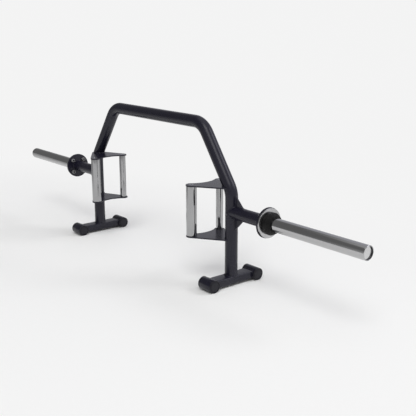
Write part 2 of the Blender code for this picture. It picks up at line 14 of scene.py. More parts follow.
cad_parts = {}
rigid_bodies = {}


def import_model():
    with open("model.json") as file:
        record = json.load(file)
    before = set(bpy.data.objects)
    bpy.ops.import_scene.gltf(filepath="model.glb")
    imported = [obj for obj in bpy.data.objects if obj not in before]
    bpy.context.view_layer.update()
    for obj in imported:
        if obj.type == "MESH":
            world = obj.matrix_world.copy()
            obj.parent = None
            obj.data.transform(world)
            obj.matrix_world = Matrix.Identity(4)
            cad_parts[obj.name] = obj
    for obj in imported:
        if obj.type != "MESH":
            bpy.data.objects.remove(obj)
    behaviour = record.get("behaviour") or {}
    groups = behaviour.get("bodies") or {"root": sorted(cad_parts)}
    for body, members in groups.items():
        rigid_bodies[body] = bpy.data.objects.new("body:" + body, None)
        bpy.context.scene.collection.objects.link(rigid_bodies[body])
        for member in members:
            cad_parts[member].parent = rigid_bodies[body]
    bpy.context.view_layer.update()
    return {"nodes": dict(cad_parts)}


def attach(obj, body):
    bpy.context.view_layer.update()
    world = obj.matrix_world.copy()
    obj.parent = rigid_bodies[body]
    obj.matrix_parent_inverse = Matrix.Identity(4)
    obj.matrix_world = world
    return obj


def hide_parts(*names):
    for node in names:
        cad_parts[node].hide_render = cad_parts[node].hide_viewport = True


for obj in list(bpy.data.objects):
    bpy.data.objects.remove(obj, do_unlink=True)

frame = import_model()

# Sizes of the CAD part
FIT_GAP = 0.0003
RUNNING_GAP = 0.0005
TUBE_RADIUS = 0.0483 / 2
TUBE_BORE = TUBE_RADIUS - 0.0032
POST_X = 0.942 / 2
SHOULDER_HEIGHT = 0.361
TOP_BAR_LENGTH = 0.606
TOP_BAR_HEIGHT = 0.599
BEND_RADIUS = 0.085
BASE_WIDTH = 0.050
BASE_HEIGHT = 0.030
BASE_CORNER = 0.004
BASE_TOP = TUBE_RADIUS + BASE_HEIGHT / 2
FOOT_Y = 0.218 / 2
FOOT_LENGTH = 0.070
CAP_THICKNESS = 0.005
CAP_PLUG_LENGTH = 0.012
SLEEVE_HEIGHT = 0.285
FLANGE_PLATE_X = 1.319 / 2
FLANGE_RADIUS = 0.111 / 2
FLANGE_PLATE_THICKNESS = 0.005
GUSSET_LEG = 0.040
GUSSET_THICKNESS = 0.006
FLANGE_SCREW_CIRCLE = 0.080
FLANGE_SCREW_COUNT = 4
UPPER_PLATE_UNDERSIDE = 0.374
PLATE_THICKNESS = 0.005
LOWER_PLATE_TOP = UPPER_PLATE_UNDERSIDE - 0.192 - 2 * FIT_GAP
LOWER_PLATE_UNDERSIDE = LOWER_PLATE_TOP - PLATE_THICKNESS
THICK_GRIP = (0.686 / 2, -0.088)
THIN_GRIP = (0.684 / 2, 0.052)
THICK_TIP_RADIUS = 0.0215
THIN_TIP_RADIUS = 0.019
PLATE_HOLLOW_RADIUS = 0.100
PLATE_FRONT_OFFSET = 0.0235
PLATE_BACK_OFFSET = 0.0125
PLATE_ROOT_CORNER = 0.006
GRIPS = {"thick": (THICK_GRIP, 0.020), "thin": (THIN_GRIP, 0.014)}
GRIP_SCREW_HEAD_RADIUS = 0.009
FLANGE_SCREW_HEAD_RADIUS = 0.008
FLANGE_SCREW_HEAD_HEIGHT = 0.010
SPINDLE_X = FLANGE_PLATE_X + FLANGE_PLATE_THICKNESS + FIT_GAP
SPINDLE_FLANGE_THICKNESS = 0.0045
SLEEVE_X = SPINDLE_X + SPINDLE_FLANGE_THICKNESS
SLEEVE_END = 1.100 - SLEEVE_X
SLEEVE_RADIUS = 0.025
SLEEVE_RIM_BORE = 0.0445 / 2
COLLAR_RADIUS = 0.037
COLLAR_THICKNESS = 0.005
SPINDLE_RADIUS = 0.017
BUMPER_RADIUS = 0.0815 / 2
END_CAP_RECESS = 0.0045
END_CAP_THICKNESS = 0.006
SIDES = {"left": -1, "right": 1}

# Sizes of the finer shapes that only this scene has
SPINDLE_FACE = 0.0030
SPINDLE_RECESS_RADIUS = 0.0213
SPINDLE_TIP_CLEARANCE = 0.006
CHROME_FLANGE_RADIUS = FLANGE_RADIUS - 0.0015
FLANGE_LIP = 0.0015
FLANGE_LIP_WIDTH = 0.0014
BUMPER_STRAIGHT = 0.018
BUMPER_NOSE_RADIUS = 0.033
BUMPER_LENGTH = 0.0315
BUMPER_RIBS = 4
RIB_DEPTH = 0.0016
SLEEVE_BORE = 0.021
# thickness of the dark sheet of painted shade in the sleeves' open ends
SHADE_SHEET_THICKNESS = 0.0002
GRIP_BORE = 0.0053
GRIP_SCREW_LENGTH = 0.030
SHANK_RADIUS = 0.005
SHANK_HOLE_RADIUS = 0.0055
SCREW_ROUNDING = 0.0012
FLANGE_SOCKET_RADIUS = 0.00462
FLANGE_SOCKET_DEPTH = 0.0050
FLANGE_SOCKET_CHAMFER = 0.0056
GRIP_SOCKET_RADIUS = 0.00346
GRIP_SOCKET_DEPTH = 0.0030
BASE_TUBE_OVERLAP = 0.012

# Camera, fitted to the photograph
CAMERA_PLACE = (2.3658, -1.6865, 0.9719)
CAMERA_YAW = math.radians(-50.303)
CAMERA_PITCH = math.radians(14.856)
CAMERA_ROLL = math.radians(-0.03)
CAMERA_LENS = 61.39
WHITE = 0.9

# Turn and height of the two lamps, which follow from the shadows in the photo
FRONT_LAMP = (312, 55)
BACK_LAMP = (50, 36)
LAMP_DISTANCE = 18
LAMP_AIM = (0.2, 0, 0.2)


# Node helpers

def new_material(name):
    made = bpy.data.materials.new(name)
    made.use_nodes = True
    return made, Graph(made.node_tree)


class Graph:
    """Small wrapper that adds and links nodes in one line each."""

    def __init__(self, tree):
        self.tree = tree
        self.shader = tree.nodes.get("Principled BSDF")

    def add(self, kind, values=None, **settings):
        node = self.tree.nodes.new(kind)
        for key, value in settings.items():
            setattr(node, key, value)
        for key, value in (values or {}).items():
            if isinstance(value, bpy.types.NodeSocket):
                self.tree.links.new(value, node.inputs[key])
            else:
                node.inputs[key].default_value = value
        return node

    def link(self, output, node_input):
        self.tree.links.new(output, node_input)

    def math(self, operation, a, b=0.0, c=0.0):
        return self.add("ShaderNodeMath", {0: a, 1: b, 2: c}, operation=operation).outputs[0]

    def blend(self, factor, a, b):
        """Mix of two numbers."""
        return self.add("ShaderNodeMix", {"Factor": factor, "A": a, "B": b}).outputs[0]

    def spread(self, value, low, high, to_low, to_high, smooth=True):
        node = self.add(
            "ShaderNodeMapRange",
            {
                "Value": value, "From Min": low, "From Max": high,
                "To Min": to_low, "To Max": to_high,
            },
            interpolation_type="SMOOTHSTEP" if smooth else "LINEAR",
        )
        return node.outputs["Result"]

    def mix(self, factor, a, b):
        """Mix of two colours."""
        node = self.add("ShaderNodeMix", {"Factor": factor}, data_type="RGBA")
        for socket, value in (("A", a), ("B", b)):
            target = [i for i in node.inputs if i.name == socket and i.type == "RGBA"][0]
            if isinstance(value, bpy.types.NodeSocket):
                self.link(value, target)
            else:
                target.default_value = value
        return [o for o in node.outputs if o.type == "RGBA"][0]

    def place(self, scale=(1, 1, 1)):
        spot = self.add("ShaderNodeTexCoord").outputs["Object"]
        return self.add("ShaderNodeMapping", {"Vector": spot, "Scale": scale}).outputs[0]

    def axes(self, output="Object"):
        """The coordinates x, y and z as three numbers."""
        spot = self.add("ShaderNodeTexCoord").outputs[output]
        parts = self.add("ShaderNodeSeparateXYZ", {"Vector": spot})
        return [parts.outputs[i] for i in range(3)]

    def length(self, a, b):
        """Length of the side opposite the right angle between a and b."""
        square = self.math("ADD", self.math("MULTIPLY", a, a), self.math("MULTIPLY", b, b))
        return self.math("SQRT", square)

    def noise(self, vector, scale, detail=2.0, roughness=0.5):
        node = self.add(
            "ShaderNodeTexNoise",
            {"Vector": vector, "Scale": scale, "Detail": detail, "Roughness": roughness},
        )
        return node.outputs["Fac"]

    def bump(self, height, strength, distance):
        values = {"Height": height, "Strength": strength, "Distance": distance}
        return self.add("ShaderNodeBump", values).outputs[0]

    def feed(self, **links):
        """Links or sets the shader's sockets; underscores stand for spaces."""
        for key, value in links.items():
            socket = self.shader.inputs[key.replace("_", " ")]
            if isinstance(value, bpy.types.NodeSocket):
                self.link(value, socket)
            else:
                socket.default_value = value


def grey(value, blue=0.0):
    return (value, value, value + blue, 1.0)


# Materials

def powder_coat():
    """Satin black powder coat: orange peel, faint clouds in gloss, a little dust."""
    made, g = new_material("powder_coat")
    at = g.place()
    peel = g.noise(at, 420.0, 1.5)
    clouds = g.noise(at, 7.0, 3.0)
    dust = g.spread(g.noise(at, 1500.0, 1.0), 0.66, 0.80, 0.0, 1.0)
    patches = g.spread(g.noise(at, 11.0, 2.0), 0.45, 0.70, 0.0, 0.5)
    base = g.mix(clouds, (0.0085, 0.008, 0.016, 1), (0.0125, 0.012, 0.0215, 1))
    g.feed(
        Base_Color=g.mix(g.math("MULTIPLY", dust, patches), base, (0.045, 0.045, 0.052, 1)),
        Roughness=g.spread(clouds, 0.25, 0.75, 0.22, 0.29, smooth=False),
        Normal=g.bump(peel, 0.015, 0.0005),
        IOR=1.40,
    )
    return made


def chromed(name, scale, colour=0.48, low=0.10, high=0.145):
    """Polished chrome with fine turning lines; scale stretches them round the part's axis."""
    made, g = new_material(name)
    lines = g.noise(g.place(scale), 1.0, 3.0, 0.6)
    clouds = g.noise(g.place(), 14.0, 3.0)
    smudge = g.spread(g.noise(g.place(), 38.0, 4.0, 0.65), 0.52, 0.75, 0.0, 1.0)
    polish = g.math("MULTIPLY_ADD", lines, 0.03, g.spread(clouds, 0.3, 0.7, low, high - 0.03))
    g.feed(
        Base_Color=g.mix(clouds, grey(colour - 0.015, 0.005), grey(colour + 0.015, 0.005)),
        Metallic=1.0,
        Roughness=g.math("MULTIPLY_ADD", smudge, 0.012, polish),
        Normal=g.bump(lines, 0.02, 0.0002),
    )
    return made


def turned_face():
    """Chromed flange: rings left by the lathe run round the sleeve's axis."""
    made, g = new_material("chrome_flange")
    _, y, z = g.axes()
    z = g.math("SUBTRACT", z, SLEEVE_HEIGHT)
    rings = {
        "X": g.length(y, z), "Y": g.math("MULTIPLY", y, 0.02), "Z": g.math("MULTIPLY", z, 0.02),
    }
    spot = g.add("ShaderNodeCombineXYZ", rings).outputs[0]
    fine = g.noise(spot, 2600.0, 3.0, 0.6)
    bands = g.noise(spot, 330.0, 2.0, 0.5)
    clouds = g.noise(g.place(), 45.0, 3.0)
    tone = g.math("MULTIPLY_ADD", clouds, 0.5, g.math("MULTIPLY", bands, 0.5))
    tone = g.spread(tone, 0.35, 0.65, 0.0, 1.0)
    g.feed(
        Base_Color=g.mix(tone, grey(0.42, 0.006), grey(0.53, 0.006)),
        Metallic=1.0,
        Roughness=g.spread(bands, 0.3, 0.7, 0.10, 0.19),
        Normal=g.bump(fine, 0.06, 0.0002),
    )
    return made


def zinc_steel():
    """Plated screws and hidden parts; the attribute shade paints shade inside the sockets,
    darkening them.
    """
    made, g = new_material("zinc_steel")
    clouds = g.noise(g.place(), 120.0, 4.0)
    # the attribute shade marks the sockets' faces, which get painted shade: a near-black colour
    painted_socket_shade = g.add("ShaderNodeAttribute", attribute_name="shade").outputs["Fac"]
    plating = g.mix(clouds, (0.36, 0.37, 0.39, 1), (0.46, 0.46, 0.47, 1))
    g.feed(
        Base_Color=g.mix(painted_socket_shade, plating, (0.030, 0.030, 0.032, 1)),
        Metallic=1.0,
        Roughness=g.spread(clouds, 0.3, 0.7, 0.22, 0.36),
        Normal=g.bump(g.noise(g.place(), 900.0), 0.08, 0.0002),
    )
    return made


def phosphated_steel():
    """Satin grey of the flange screws; their sides catch the lamps and their faces stay dark."""
    made, g = new_material("phosphated_steel")
    clouds = g.noise(g.place(), 140.0, 4.0)
    # the attribute shade marks the sockets' faces, which get painted shade: a near-black grey
    painted_socket_shade = g.add("ShaderNodeAttribute", attribute_name="shade").outputs["Fac"]
    coat = g.mix(clouds, grey(0.17, 0.006), grey(0.24, 0.004))
    g.feed(
        Base_Color=g.mix(painted_socket_shade, coat, grey(0.020, 0.002)),
        Metallic=0.25,
        Roughness=g.spread(clouds, 0.3, 0.7, 0.42, 0.54),
        Normal=g.bump(g.noise(g.place(), 900.0), 0.08, 0.0002),
    )
    return made


def recess_shade_steel():
    """Near-black metal on a thin sheet in the open end of the sleeves: painted shade on the recess
    wall.
    """
    made, g = new_material("recess_shade_steel")
    clouds = g.noise(g.place(), 160.0, 3.0)
    g.feed(
        Base_Color=g.mix(clouds, (0.030, 0.030, 0.033, 1), (0.055, 0.055, 0.058, 1)),
        Metallic=0.8,
        Roughness=g.spread(clouds, 0.3, 0.7, 0.30, 0.42),
        Normal=g.bump(g.noise(g.place(), 900.0), 0.06, 0.0002),
    )
    return made


def rubber():
    """Black bumper rubber with a fine grain and cloudy gloss."""
    made, g = new_material("bumper_rubber")
    fine = g.noise(g.place(), 1300.0, 2.0)
    clouds = g.noise(g.place(), 30.0, 3.0)
    g.feed(
        Base_Color=g.mix(clouds, (0.003, 0.003, 0.003, 1), (0.006, 0.006, 0.006, 1)),
        Roughness=g.spread(clouds, 0.3, 0.7, 0.34, 0.45),
        IOR=1.3,
        Normal=g.bump(fine, 0.12, 0.0003),
    )
    return made


def moulded_plastic():
    """Fine spark-eroded grain of the foot plugs."""
    made, g = new_material("cap_plastic")
    cells = g.add("ShaderNodeTexVoronoi", {"Vector": g.place(), "Scale": 1100.0})
    clouds = g.noise(g.place(), 40.0, 2.0)
    g.feed(
        Base_Color=g.mix(clouds, (0.0065, 0.006, 0.010, 1), (0.010, 0.0095, 0.015, 1)),
        Roughness=g.spread(clouds, 0.3, 0.7, 0.40, 0.50),
        IOR=1.4,
        Normal=g.bump(cells.outputs["Distance"], 0.10, 0.0003),
    )
    return made


def bronze():
    """Turned bronze of the bushes."""
    made, g = new_material("bush_bronze")
    lines = g.noise(g.place((900.0, 12.0, 12.0)), 1.0, 3.0)
    g.feed(
        Base_Color=g.mix(lines, (0.50, 0.33, 0.17, 1), (0.62, 0.42, 0.22, 1)),
        Metallic=1.0,
        Roughness=g.spread(lines, 0.3, 0.7, 0.28, 0.42),
        Normal=g.bump(lines, 0.10, 0.0003),
    )
    return made


COAT = powder_coat()
CHROME_X = chromed("chrome_turned", (1400.0, 16.0, 16.0))
# the grips' chrome is a darker copy of the same chrome: painted shade that dims their reflections
CHROME_Z = chromed("chrome_grips", (16.0, 16.0, 1400.0), colour=0.39, low=0.07, high=0.12)
CHROME_FACE = turned_face()
CHROME_CAP = chromed("chrome_cap", (60.0, 60.0, 60.0), colour=0.66, low=0.20, high=0.30)
ZINC = zinc_steel()
PHOSPHATE = phosphated_steel()
RECESS_SHADE = recess_shade_steel()
RUBBER = rubber()
PLASTIC = moulded_plastic()
BRONZE = bronze()


# Mesh helpers

def piece(name, bm, material, body, nodes=(), sharp=28, bevel=0.0):
    """Turns a bmesh into a piece that rides on a body and stands for CAD nodes."""
    bmesh.ops.recalc_face_normals(bm, faces=bm.faces)
    mesh = bpy.data.meshes.new(name)
    bm.to_mesh(mesh)
    bm.free()
    mesh.shade_smooth()
    mesh.set_sharp_from_angle(angle=math.radians(sharp))
    mesh.materials.append(material)
    made = bpy.data.objects.new(name, mesh)
    bpy.context.scene.collection.objects.link(made)
    if bevel:
        rounding = made.modifiers.new("edges", "BEVEL")
        rounding.width = bevel
        rounding.segments = 3
        rounding.limit_method = "ANGLE"
        rounding.angle_limit = math.radians(sharp)
        rounding.harden_normals = True
    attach(made, body)
    if nodes:
        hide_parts(*nodes)
    return made


def rounded(profile, radii, steps=5):
    """Replaces the listed corners of an open (along, radius) profile by arcs."""
    points = []
    for i, point in enumerate(profile):
        if i not in radii:
            points.append(tuple(point))
            continue
        here = Vector(point)
        into = (here - Vector(profile[i - 1])).normalized()
        out = (Vector(profile[i + 1]) - here).normalized()
        turn = into.angle_signed(out)
        setback = radii[i] * math.tan(abs(turn) / 2)
        start = here - into * setback
        end = here + out * setback
        # a circular arc read as a rational quadratic curve
        weight = math.cos(abs(turn) / 2)
        for k in range(steps + 1):
            t = k / steps
            low, mid, high = (1 - t) ** 2, 2 * weight * t * (1 - t), t**2
            points.append(tuple((start * low + here * mid + end * high) / (low + mid + high)))
    return points


def turned_spot(centre, axis, side, along, radius, angle):
    """Place on a turned surface; side is the axis' sign."""
    u, v = radius * math.cos(angle), radius * math.sin(angle)
    if axis == "X":
        return (centre[0] + side * along, centre[1] + u, centre[2] + v)
    return (centre[0] + u, centre[1] + v, centre[2] + side * along)


def revolve(bm, profile, centre, axis, side=1, sides=96):
    """Adds a turned surface; a profile that starts or ends on the axis is closed there."""
    rings = []
    for along, radius in profile:
        count = 1 if radius < 1e-9 else sides
        angles = [2 * math.pi * k / sides for k in range(count)]
        rings.append([
            bm.verts.new(turned_spot(centre, axis, side, along, radius, a)) for a in angles
        ])
    skin(bm, rings)
    return rings


def skin(bm, rings):
    """Faces between rings that follow each other; a ring may be a single point."""
    for first, second in zip(rings, rings[1:]):
        count = max(len(first), len(second))
        for k in range(count):
            n = (k + 1) % count
            if len(first) == 1:
                bm.faces.new((first[0], second[k], second[n]))
            elif len(second) == 1:
                bm.faces.new((first[k], first[n], second[0]))
            else:
                bm.faces.new((first[k], first[n], second[n], second[k]))


def turned(name, profile, centre, axis, side, material, body, nodes=(), sides=96, loop=False):
    bm = bmesh.new()
    rings = revolve(bm, profile, centre, axis, side, sides)
    if loop:
        skin(bm, [rings[-1], rings[0]])
    return piece(name, bm, material, body, nodes)


def capped(bm, rings):
    """A closed body from rings of corners: skin and both end faces."""
    skin(bm, rings)
    bm.faces.new(rings[0])
    bm.faces.new(rings[-1])


# The arch

def bent_path(painted_socket_shade, radius, steps, run_steps):
    """Points and directions along straight runs whose corners are rounded by arcs."""
    stations = [(Vector(painted_socket_shade[0]), (Vector(painted_socket_shade[1]) - Vector(painted_socket_shade[0])).normalized())]
    for before, corner, after in zip(painted_socket_shade, painted_socket_shade[1:], painted_socket_shade[2:]):
        into = (Vector(corner) - Vector(before)).normalized()
        out = (Vector(after) - Vector(corner)).normalized()
        turn = into.angle(out)
        inward = (out - into * into.dot(out)).normalized()
        start = Vector(corner) - into * radius * math.tan(turn / 2)
        last = stations[-1][0]
        for i in range(1, run_steps):
            stations.append((last.lerp(start, i / run_steps), into))
        for i in range(steps + 1):
            angle = turn * i / steps
            shift = into * math.sin(angle) + inward * (1 - math.cos(angle))
            heading = into * math.cos(angle) + inward * math.sin(angle)
            stations.append((start + radius * shift, heading))
    end = Vector(painted_socket_shade[-1])
    heading = (end - Vector(painted_socket_shade[-2])).normalized()
    last = stations[-1][0]
    for i in range(1, run_steps + 1):
        stations.append((last.lerp(end, i / run_steps), heading))
    return stations


ARCH_CORNERS = [
    (POST_X, 0, BASE_TOP + FIT_GAP),
    (POST_X, 0, SHOULDER_HEIGHT),
    (TOP_BAR_LENGTH / 2, 0, TOP_BAR_HEIGHT),
    (-TOP_BAR_LENGTH / 2, 0, TOP_BAR_HEIGHT),
    (-POST_X, 0, SHOULDER_HEIGHT),
    (-POST_X, 0, BASE_TOP + FIT_GAP),
]
ARCH = bent_path(ARCH_CORNERS, BEND_RADIUS, 18, 6)
ACROSS = Vector((0, 1, 0))


def arch_point(station, angle, radius=TUBE_RADIUS):
    """Point on the tube's skin; angle 0 faces the back and pi / 2 the outside of the arch."""
    point, heading = station
    outward = ACROSS.cross(heading)
    return point + radius * (ACROSS * math.cos(angle) + outward * math.sin(angle))


def arch_skin_at(height, angle, side):
    """Point on the skin of one side's post or leg at a height."""
    path = [s for s in ARCH if s[0].x > 0][: len(ARCH) // 2]
    spots = [arch_point(s, angle) for s in path]
    heights = [p.z for p in spots]
    x = float(np.interp(height, heights, [p.x for p in spots]))
    y = float(np.interp(height, heights, [p.y for p in spots]))
    return Vector((side * x, y, height))


def make_arch(sides=72):
    """The bent tube, hollow in the first and last stretch of its posts."""
    bm = bmesh.new()
    angles = [2 * math.pi * k / sides for k in range(sides)]
    outer = [[bm.verts.new(arch_point(s, a)) for a in angles] for s in ARCH]
    inner = [
        [bm.verts.new(arch_point(s, a, TUBE_BORE)) for a in angles]
        for s in (ARCH[0], ARCH[1], ARCH[-2], ARCH[-1])
    ]
    skin(bm, outer)
    skin(bm, [outer[0], inner[0], inner[1]])
    skin(bm, [outer[-1], inner[3], inner[2]])
    piece("arch_tube", bm, COAT, "frame", ["frame_tube"])


# Weld beads

def bead(name, path, closed=False, radius=0.0027, pitch=0.0042, sides=12):
    """A painted-over weld run along a path, with ripples that follow each other like scales."""
    points = [Vector(p) for p in path]
    lengths = [0.0]
    loop = points + [points[0]] if closed else points
    for a, b in zip(loop, loop[1:]):
        lengths.append(lengths[-1] + (b - a).length)
    total = lengths[-1]
    count = max(8, round(total / (pitch / 5)))
    ripples = max(2, round(total / pitch))
    array = np.array([tuple(p) for p in loop])
    stations = np.linspace(0, total, count + 1)
    spots = [
        Vector([float(np.interp(s, lengths, array[:, i])) for i in range(3)]) for s in stations
    ]
    if closed:
        spots = spots[:-1]
    bm = bmesh.new()
    rings = []
    up = None
    for i, spot in enumerate(spots):
        before = spots[i - 1] if (closed or i) else spots[i]
        after = spots[(i + 1) % len(spots)] if (closed or i < len(spots) - 1) else spots[i]
        forward = (after - before).normalized()
        if up is None:
            up = forward.orthogonal().normalized()
        up = (up - forward * up.dot(forward)).normalized()
        right = forward.cross(up)
        phase = float(stations[i] / total * ripples) % 1.0
        wave = 1.0 + 0.10 * (1.0 - phase) ** 1.5 - 0.05
        drift = 0.06 * noise.noise(spot * 90.0 + Vector((3.1, 0.7, 5.3)))
        size = float(radius * (wave + drift))
        if not closed:
            from_end = float(min(stations[i], total - stations[i]))
            size *= min(1.0, 0.35 + 0.65 * math.sqrt(min(1.0, from_end / (2 * radius))))
        angles = [2 * math.pi * k / sides for k in range(sides)]
        rings.append([
            bm.verts.new(spot + size * (up * math.cos(a) + right * math.sin(a))) for a in angles
        ])
    if closed:
        first, last = rings[0], rings[-1]
        # the first ring is turned to the corner that lies nearest to the last ring's
        turns = [first[s:] + first[:s] for s in range(sides)]
        nearest = min(turns, key=lambda ring: sum((a.co - b.co).length for a, b in zip(ring, last)))
        skin(bm, rings)
        skin(bm, [last, nearest])
    else:
        capped(bm, rings)
    return piece(name, bm, COAT, "frame", sharp=60)


def around(steps, start=0.0, end=2 * math.pi):
    closed = abs(end - start - 2 * math.pi) < 1e-9
    return [start + (end - start) * i / steps for i in range(steps if closed else steps + 1)]


def saddle(side):
    """Where the stub tube's skin meets the post's skin."""
    spots = []
    for a in around(96):
        y, z = TUBE_RADIUS * math.cos(a), TUBE_RADIUS * math.sin(a)
        out = math.sqrt(max(TUBE_RADIUS**2 - y**2, 0.0))
        spots.append((side * (POST_X + out), y, SLEEVE_HEIGHT + z))
    return spots


def post_foot(side):
    """Round the post's foot, down over the base tube's rounded long edges."""
    spots = []
    flat = BASE_WIDTH / 2 - BASE_CORNER
    for a in around(72):
        x, y = TUBE_RADIUS * math.cos(a), TUBE_RADIUS * math.sin(a)
        over = max(0.0, abs(x) - flat)
        drop = BASE_CORNER - math.sqrt(max(BASE_CORNER**2 - over**2, 0.0))
        spots.append((side * POST_X + x, y, BASE_TOP - drop))
    return spots


def quarter(centre, radius, start, steps=6):
    angles = [start + math.pi / 2 * i / steps for i in range(steps + 1)]
    return [(centre[0] + radius * math.cos(a), centre[1] + radius * math.sin(a)) for a in angles]


def rounded_rectangle(width, height, corner, centre_z, steps=6):
    points = []
    for i, (sx, sz) in enumerate([(1, 1), (-1, 1), (-1, -1), (1, -1)]):
        centre = (sx * (width / 2 - corner), centre_z + sz * (height / 2 - corner))
        points += quarter(centre, corner, i * math.pi / 2, steps)
    return points


def base_end(side, way):
    """Where the base tube's skin meets a foot tube's skin."""
    spots = []
    for x, z in rounded_rectangle(BASE_WIDTH, BASE_HEIGHT, BASE_CORNER, TUBE_RADIUS, 8):
        reach = math.sqrt(max(TUBE_RADIUS**2 - (z - TUBE_RADIUS) ** 2, 0.0))
        spots.append((side * POST_X + x, way * (FOOT_Y - reach), z))
    return spots


# Grip plates

def arc(centre, radius, start, end, step=math.radians(4)):
    count = max(2, math.ceil(abs(end - start) / step))
    angles = [start + (end - start) * i / count for i in range(count + 1)]
    return [(centre[0] + radius * math.cos(a), centre[1] + radius * math.sin(a)) for a in angles]


def outer_tangent_angle(first, first_radius, second, second_radius, turn):
    """Direction of the normal to the line that touches two circles on the same side."""
    dx, dy = second[0] - first[0], second[1] - first[1]
    lean = math.acos((first_radius - second_radius) / math.hypot(dx, dy))
    return math.atan2(dy, dx) + turn * lean


def above(angle, floor):
    """The same angle, turned by whole turns to lie just above another."""
    return floor + (angle - floor) % (2 * math.pi)


def rounded_corner(before, corner, after, radius):
    """Arc that rounds the corner of an outline."""
    into = (Vector(corner) - Vector(before)).normalized()
    out = (Vector(after) - Vector(corner)).normalized()
    turn = into.angle_signed(out)
    setback = radius * math.tan(abs(turn) / 2)
    way = 1 if turn < 0 else -1
    left = Vector((-into.y, into.x)) * way
    centre = Vector(corner) - into * setback + left * radius
    start = math.atan2(-left.y, -left.x)
    return arc(centre, radius, start, start - turn, math.radians(12))


def meeting_point(first, first_radius, second, second_radius):
    """One of the two points where two circles meet."""
    dx, dy = second[0] - first[0], second[1] - first[1]
    span = math.hypot(dx, dy)
    along = (span**2 + first_radius**2 - second_radius**2) / (2 * span)
    across = math.sqrt(first_radius**2 - along**2)
    x = first[0] + (along * dx + across * dy) / span
    return x, first[1] + (along * dy - across * dx) / span


def plate_ends(root):
    """Ends of the plate's front and back edges beside the bent tube, and those edges' normals."""
    post = (POST_X, 0.0)
    front = outer_tangent_angle(THICK_GRIP, THICK_TIP_RADIUS, post, PLATE_FRONT_OFFSET, -1)
    back = outer_tangent_angle(THIN_GRIP, THIN_TIP_RADIUS, post, PLATE_BACK_OFFSET, 1)
    lean = POST_X - root
    front_reach = PLATE_FRONT_OFFSET + lean * math.cos(front)
    back_reach = PLATE_BACK_OFFSET + lean * math.cos(back)
    front_end = (root + front_reach * math.cos(front), front_reach * math.sin(front))
    back_end = (root + back_reach * math.cos(back), back_reach * math.sin(back))
    return front, back, front_end, back_end


def plate_outline(root):
    """Two tips round the grips, a hollow edge between them and straight edges to the tube."""
    front, back, front_end, back_end = plate_ends(root)
    hollow = meeting_point(
        THIN_GRIP, PLATE_HOLLOW_RADIUS + THIN_TIP_RADIUS,
        THICK_GRIP, PLATE_HOLLOW_RADIUS + THICK_TIP_RADIUS,
    )
    to_thick = math.atan2(hollow[1] - THICK_GRIP[1], hollow[0] - THICK_GRIP[0])
    to_thin = math.atan2(hollow[1] - THIN_GRIP[1], hollow[0] - THIN_GRIP[0])
    points = arc(THICK_GRIP, THICK_TIP_RADIUS, to_thick, above(front, to_thick))
    points += rounded_corner(points[-1], front_end, (root, 0.0), PLATE_ROOT_CORNER)
    points.append((root, 0.0))
    points.append(back_end)
    points += arc(THIN_GRIP, THIN_TIP_RADIUS, back, above(to_thin, back))
    start = to_thin + math.pi
    turn = (start - to_thick - math.pi) % (2 * math.pi)
    return points + arc(hollow, PLATE_HOLLOW_RADIUS, start, start - turn)[1:-1]


def arch_axis_x(height):
    """Distance of the right-hand tube's axis from the middle at a height."""
    right = [s[0] for s in ARCH if s[0].x > 0]
    return float(np.interp(height, [p.z for p in right], [p.x for p in right]))


def loop_edges(bm, loop):
    return [bm.edges.new((a, b)) for a, b in zip(loop, loop[1:] + loop[:1])]


def make_grip_plate(name, side, underside, screws_up):
    """Plate with two countersunk holes for the grips' screws."""
    root = arch_axis_x(underside + PLATE_THICKNESS / 2)
    outline = [(side * x, y) for x, y in plate_outline(root)]
    seat = underside + (PLATE_THICKNESS if screws_up else 0.0)
    back = underside + (0.0 if screws_up else PLATE_THICKNESS)
    deep = seat + (back - seat) * 0.85
    mouth, shank = GRIP_SCREW_HEAD_RADIUS + FIT_GAP, SHANK_HOLE_RADIUS

    def circle(x, y, radius, level):
        spots = [(side * x + radius * math.cos(a), y + radius * math.sin(a)) for a in around(48)]
        return [bm.verts.new((*spot, level)) for spot in spots]

    bm = bmesh.new()
    rims = {}
    holes = [{}, {}]
    for level, radius in ((seat, mouth), (back, shank)):
        rims[level] = [bm.verts.new((x, y, level)) for x, y in outline]
        edges = loop_edges(bm, rims[level])
        for hole, ((x, y), _) in zip(holes, GRIPS.values()):
            hole[level] = circle(x, y, radius, level)
            edges += loop_edges(bm, hole[level])
        bmesh.ops.triangle_fill(bm, use_beauty=True, edges=edges)
    skin(bm, [rims[seat], rims[back]])
    for hole, ((x, y), _) in zip(holes, GRIPS.values()):
        skin(bm, [hole[seat], circle(x, y, shank, deep), hole[back]])
    piece(
        f"plate_{name}", bm, COAT, "frame", [f"grip_plate_{name}"], sharp=24,
        bevel=0.0004,
    )
    # one bead on each face, round the inboard half of the tube, between the plate's own edges
    for label, height in (("under", underside), ("top", underside + PLATE_THICKNESS)):
        angles = around(40, math.radians(5), math.radians(-185))
        path = [arch_skin_at(height, a, side) for a in angles]
        bead(f"weld_plate_{name}_{label}", path, radius=0.0024)


# Turned pieces

